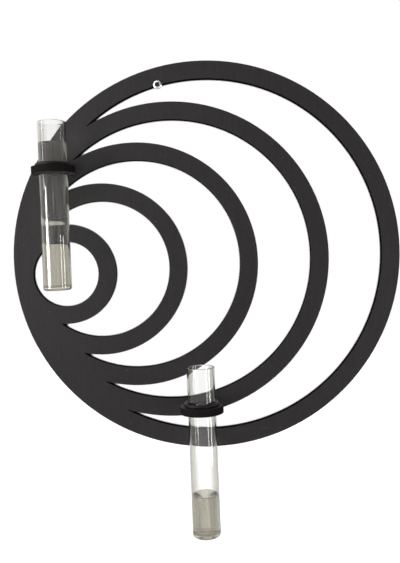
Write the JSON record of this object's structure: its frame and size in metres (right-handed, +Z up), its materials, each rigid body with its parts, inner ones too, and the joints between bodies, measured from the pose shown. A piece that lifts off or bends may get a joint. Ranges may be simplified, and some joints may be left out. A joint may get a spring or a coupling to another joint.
{
  "type": "wall propagation vase",
  "caption": "Flat black panel of nested off-centre rings that hangs on a screw and holds clear glass test tubes in ring holders by rubber rings.",
  "frame": {"origin": "on the hanging screw's axis where the screw enters the wall, in the plane of the panel's back", "axes": "+X to the right as seen from the front, +Y into the wall along the screw, +Z up along the tubes"},
  "size_m": [0.3556, 0.0705, 0.4288],
  "materials": {
    "panel_black": "matt charcoal paint on a cut fibreboard sheet",
    "tube_glass": "clear polished glass",
    "grip_rubber": "satin black rubber",
    "screw_zinc": "bright zinc plate",
    "water": "still water, faintly cloudy and beige"
  },
  "bodies": {
    "screw": {"hanging_screw": "screw_zinc"},
    "panel": {"ring_panel": "panel_black", "upper_holder": "panel_black", "lower_holder": "panel_black"},
    "upper_vial": {"upper_tube": "tube_glass", "upper_grip_ring": "grip_rubber"},
    "lower_vial": {"lower_tube": "tube_glass", "lower_grip_ring": "grip_rubber"}
  },
  "joints": [
    {"name": "panel_swing", "type": "hinge", "parent": "screw", "child": "panel", "pos_m": [0, 0, 0], "axis": [0, 1, 0], "range_deg": [-15, 15]},
    {"name": "upper_tube_lift", "type": "slide", "parent": "panel", "child": "upper_vial", "axis": [0, 0, 1], "range_m": [0, 0.12]},
    {"name": "lower_tube_lift", "type": "slide", "parent": "panel", "child": "lower_vial", "axis": [0, 0, 1], "range_m": [0, 0.125]}
  ]
}
